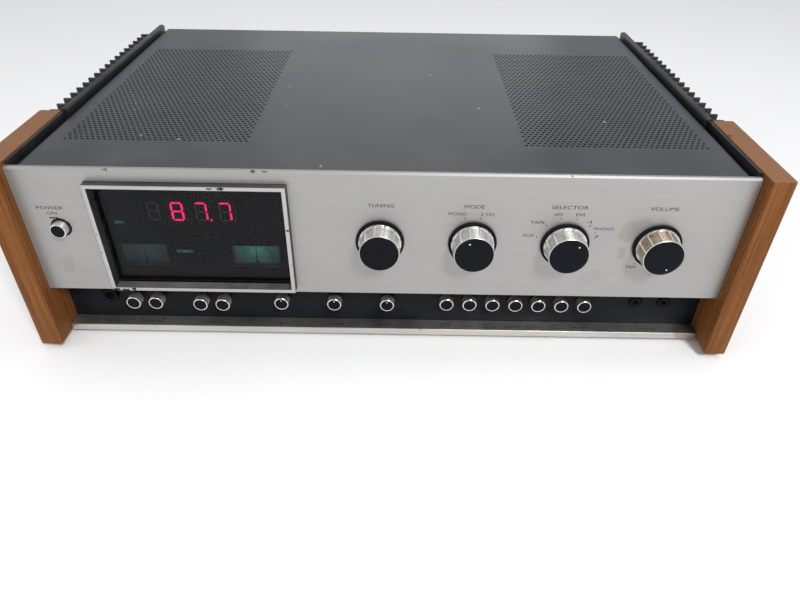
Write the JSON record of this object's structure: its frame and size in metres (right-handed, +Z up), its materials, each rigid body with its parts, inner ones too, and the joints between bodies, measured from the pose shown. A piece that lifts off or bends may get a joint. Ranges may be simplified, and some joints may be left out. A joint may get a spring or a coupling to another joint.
{
  "type": "stereo receiver",
  "caption": "Low wide stereo receiver with brushed metal front, dark display window, round knobs, recessed push buttons, wooden end cheeks, side heat sinks and a perforated cover.",
  "frame": {"origin": "bottom centre of the whole set, on the surface the feet rest on", "axes": "+X to the right along the front panel, +Y from the front to the back, +Z up"},
  "size_m": [0.5064, 0.3514, 0.1468],
  "materials": {
    "panel_aluminium": "horizontally brushed, satin",
    "bezel_metal": "satin anodised front edges with dark painted sides",
    "window_glass": "dark tinted, glossy",
    "cover_paint": "fine textured dark grey satin paint",
    "heatsink_black": "black anodised, satin",
    "oiled_wood": "oiled open-grain oak, upright grain",
    "black_metal": "semi-matt black paint",
    "plated_steel": "dull zinc plating",
    "knob_metal": "turned and plated, slightly worn",
    "black_rubber": "matt moulded rubber",
    "black_plastic": "moulded, low gloss",
    "circuit_board": "phenolic board",
    "sleeve_blue": "printed heat-shrink sleeve",
    "meter_face": "dim lit scale",
    "needle_red": "painted pointer",
    "belt_black": "woven drive belt"
  },
  "bodies": {
    "case": {"front_panel": "panel_aluminium", "window_frame": "bezel_metal", "window_glass": "window_glass", "display_mask": "black_metal", "digit_display": "black_plastic", "signal_meter": "meter_face", "tuning_meter": "meter_face", "right_cheek": "oiled_wood", "left_cheek": "oiled_wood", "right_heatsink": "heatsink_black", "left_heatsink": "heatsink_black", "top_cover": "cover_paint", "chassis_pan": "plated_steel", "rear_panel": "black_metal", "chassis_plate": "black_metal", "label_ledge": "panel_aluminium", "front_left_foot": "black_rubber", "front_right_foot": "black_rubber", "rear_left_foot": "black_rubber", "rear_right_foot": "black_rubber", "mode_switch": "plated_steel", "selector_switch": "plated_steel", "volume_control": "plated_steel", "power_switch": "black_plastic", "control_board": "circuit_board", "headphone_jack": "black_metal", "dub_jacks": "black_metal", "power_transformer": "plated_steel", "left_filter_capacitor": "sleeve_blue", "right_filter_capacitor": "sleeve_blue", "main_board": "circuit_board", "tuning_capacitor": "plated_steel", "tuning_belt": "belt_black", "speaker_terminals": "black_plastic", "input_jacks": "plated_steel", "aerial_terminals": "black_plastic", "cord_gland": "black_rubber"},
    "tuning": {"tuning_knob": "knob_metal", "tuning_flywheel": "plated_steel"},
    "capacitor_rotor": {"capacitor_rotor": "plated_steel"},
    "mode": {"mode_knob": "knob_metal"},
    "selector": {"selector_knob": "knob_metal"},
    "volume": {"volume_knob": "knob_metal"},
    "power": {"power_button": "knob_metal"},
    "bass": {"bass_knob": "knob_metal"},
    "treble": {"treble_knob": "knob_metal"},
    "balance": {"balance_knob": "knob_metal"},
    "signal_needle": {"signal_needle": "needle_red"},
    "tuning_needle": {"tuning_needle": "needle_red"},
    "speaker_a_button": {"speaker_a_button": "knob_metal"},
    "speaker_b_button": {"speaker_b_button": "knob_metal"},
    "tape_monitor_1_button": {"tape_monitor_1_button": "knob_metal"},
    "tape_monitor_2_button": {"tape_monitor_2_button": "knob_metal"},
    "tone_flat_button": {"tone_flat_button": "knob_metal"},
    "loudness_button": {"loudness_button": "knob_metal"},
    "fm_filter_button": {"fm_filter_button": "knob_metal"},
    "blend_button": {"blend_button": "knob_metal"},
    "squelch_button": {"squelch_button": "knob_metal"},
    "auto_mono_button": {"auto_mono_button": "knob_metal"},
    "dimmer_button": {"dimmer_button": "knob_metal"}
  },
  "joints": [
    {"name": "tuning_turn", "type": "hinge", "parent": "case", "child": "tuning", "pos_m": [-0.0024, -0.1593, 0.0929], "axis": [0, 1, 0], "range_deg": [-500, 500]},
    {"name": "capacitor_turn", "type": "hinge", "parent": "case", "child": "capacitor_rotor", "pos_m": [0.05, -0.0993, 0.0929], "axis": [0, 1, 0], "range_deg": [-90, 90]},
    {"name": "mode_turn", "type": "hinge", "parent": "case", "child": "mode", "pos_m": [0.0594, -0.1593, 0.0929], "axis": [0, 1, 0], "range_deg": [0, 30]},
    {"name": "selector_turn", "type": "hinge", "parent": "case", "child": "selector", "pos_m": [0.1211, -0.1593, 0.0929], "axis": [0, 1, 0], "range_deg": [-120, 30]},
    {"name": "volume_turn", "type": "hinge", "parent": "case", "child": "volume", "pos_m": [0.1829, -0.1593, 0.0929], "axis": [0, 1, 0], "range_deg": [-300, 0]},
    {"name": "bass_turn", "type": "hinge", "parent": "case", "child": "bass", "pos_m": [-0.0763, -0.1493, 0.0303], "axis": [0, 1, 0], "range_deg": [-150, 150]},
    {"name": "treble_turn", "type": "hinge", "parent": "case", "child": "treble", "pos_m": [-0.0371, -0.1493, 0.0303], "axis": [0, 1, 0], "range_deg": [-150, 150]},
    {"name": "balance_turn", "type": "hinge", "parent": "case", "child": "balance", "pos_m": [0.0021, -0.1493, 0.0303], "axis": [0, 1, 0], "range_deg": [-150, 150]},
    {"name": "signal_needle_swing", "type": "hinge", "parent": "case", "child": "signal_needle", "pos_m": [-0.1669, -0.1493, 0.0681], "axis": [0, 1, 0], "range_deg": [-35, 35], "stiffness_Nm_per_rad": 0.00002},
    {"name": "tuning_needle_swing", "type": "hinge", "parent": "case", "child": "tuning_needle", "pos_m": [-0.08895, -0.1493, 0.0681], "axis": [0, 1, 0], "range_deg": [-35, 35], "stiffness_Nm_per_rad": 0.00002},
    {"name": "power_press", "type": "slide", "parent": "case", "child": "power", "axis": [0, 1, 0], "range_m": [-0.003, 0]},
    {"name": "speaker_a_press", "type": "slide", "parent": "case", "child": "speaker_a_button", "axis": [0, 1, 0], "range_m": [0, 0.003], "stiffness_N_per_m": 150},
    {"name": "speaker_b_press", "type": "slide", "parent": "case", "child": "speaker_b_button", "axis": [0, 1, 0], "range_m": [0, 0.003], "stiffness_N_per_m": 150},
    {"name": "tape_monitor_1_press", "type": "slide", "parent": "case", "child": "tape_monitor_1_button", "axis": [0, 1, 0], "range_m": [0, 0.003], "stiffness_N_per_m": 150},
    {"name": "tape_monitor_2_press", "type": "slide", "parent": "case", "child": "tape_monitor_2_button", "axis": [0, 1, 0], "range_m": [0, 0.003], "stiffness_N_per_m": 150},
    {"name": "tone_flat_press", "type": "slide", "parent": "case", "child": "tone_flat_button", "axis": [0, 1, 0], "range_m": [-0.0033, 0]},
    {"name": "loudness_press", "type": "slide", "parent": "case", "child": "loudness_button", "axis": [0, 1, 0], "range_m": [-0.0033, 0]},
    {"name": "fm_filter_press", "type": "slide", "parent": "case", "child": "fm_filter_button", "axis": [0, 1, 0], "range_m": [-0.0033, 0]},
    {"name": "blend_press", "type": "slide", "parent": "case", "child": "blend_button", "axis": [0, 1, 0], "range_m": [-0.0033, 0]},
    {"name": "squelch_press", "type": "slide", "parent": "case", "child": "squelch_button", "axis": [0, 1, 0], "range_m": [-0.0033, 0]},
    {"name": "auto_mono_press", "type": "slide", "parent": "case", "child": "auto_mono_button", "axis": [0, 1, 0], "range_m": [-0.0033, 0]},
    {"name": "dimmer_press", "type": "slide", "parent": "case", "child": "dimmer_button", "axis": [0, 1, 0], "range_m": [-0.0033, 0]}
  ],
  "couplings": [
    {"joint": "capacitor_turn", "follows": "tuning_turn", "ratio": 0.175}
  ]
}
